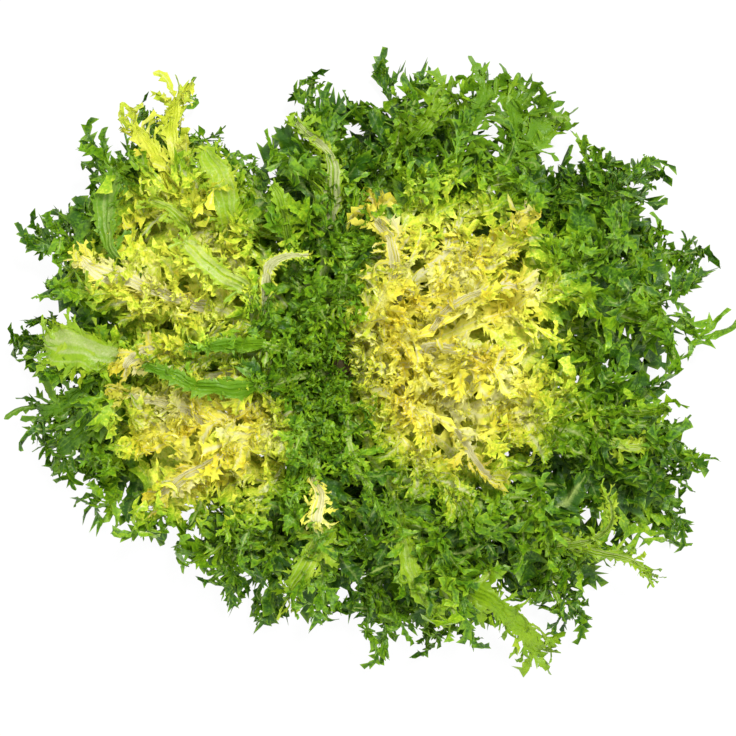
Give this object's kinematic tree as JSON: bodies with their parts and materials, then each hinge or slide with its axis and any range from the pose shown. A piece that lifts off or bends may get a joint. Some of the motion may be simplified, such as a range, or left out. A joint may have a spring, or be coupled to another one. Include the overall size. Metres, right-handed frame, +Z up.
{
  "type": "curly endive head",
  "caption": "Open head of curly endive: frilled, deeply cut leaves spread from a short cut core, green outside and yellow at heart.",
  "frame": {"origin": "centre of the core's flat cut face, on the surface that the head rests on", "axes": "+Z up out of the heart, +X along the head's widest spread, +Y along its other spread, away from the viewer"},
  "size_m": [0.4034, 0.344, 0.1019],
  "materials": {
    "outer_green": "fresh leaf, dark green, satin, crisp",
    "middle_green": "fresh leaf, light green, satin, crisp",
    "heart_yellow": "blanched leaf, yellow with a cream rib, satin, crisp",
    "cover_green": "fresh leaf, dark green, satin, crisp",
    "core_cream": "firm pale stem, satin, with a browned cut face"
  },
  "bodies": {
    "root": {"core": "core_cream", "cover_leaf_01": "cover_green", "cover_leaf_02": "cover_green", "cover_leaf_03": "cover_green", "cover_leaf_04": "cover_green", "cover_leaf_05": "cover_green", "cover_leaf_06": "cover_green", "cover_leaf_07": "cover_green", "cover_leaf_08": "cover_green", "cover_leaf_09": "cover_green", "heart_leaf_01": "heart_yellow", "heart_leaf_02": "heart_yellow", "heart_leaf_03": "heart_yellow", "heart_leaf_04": "heart_yellow", "heart_leaf_05": "heart_yellow", "heart_leaf_06": "heart_yellow", "heart_leaf_07": "heart_yellow", "heart_leaf_08": "heart_yellow", "heart_leaf_09": "heart_yellow", "heart_leaf_10": "heart_yellow", "middle_leaf_01": "middle_green", "middle_leaf_02": "middle_green", "middle_leaf_03": "middle_green", "middle_leaf_04": "middle_green", "middle_leaf_05": "middle_green", "middle_leaf_06": "middle_green", "middle_leaf_07": "middle_green", "middle_leaf_08": "middle_green", "middle_leaf_09": "middle_green", "middle_leaf_10": "middle_green", "middle_leaf_11": "middle_green", "middle_leaf_12": "middle_green", "middle_leaf_13": "middle_green", "middle_leaf_14": "middle_green", "outer_leaf_01": "outer_green", "outer_leaf_02": "outer_green", "outer_leaf_03": "outer_green", "outer_leaf_04": "outer_green", "outer_leaf_05": "outer_green", "outer_leaf_06": "outer_green", "outer_leaf_07": "outer_green", "outer_leaf_08": "outer_green", "outer_leaf_09": "outer_green", "outer_leaf_10": "outer_green", "outer_leaf_11": "outer_green", "outer_leaf_12": "outer_green", "outer_leaf_13": "outer_green", "outer_leaf_14": "outer_green", "outer_leaf_15": "outer_green", "outer_leaf_16": "outer_green", "outer_leaf_17": "outer_green", "outer_leaf_18": "outer_green", "outer_leaf_19": "outer_green", "outer_leaf_20": "outer_green", "outer_leaf_21": "outer_green", "outer_leaf_22": "outer_green", "outer_leaf_23": "outer_green", "outer_leaf_24": "outer_green"}
  },
  "joints": []
}
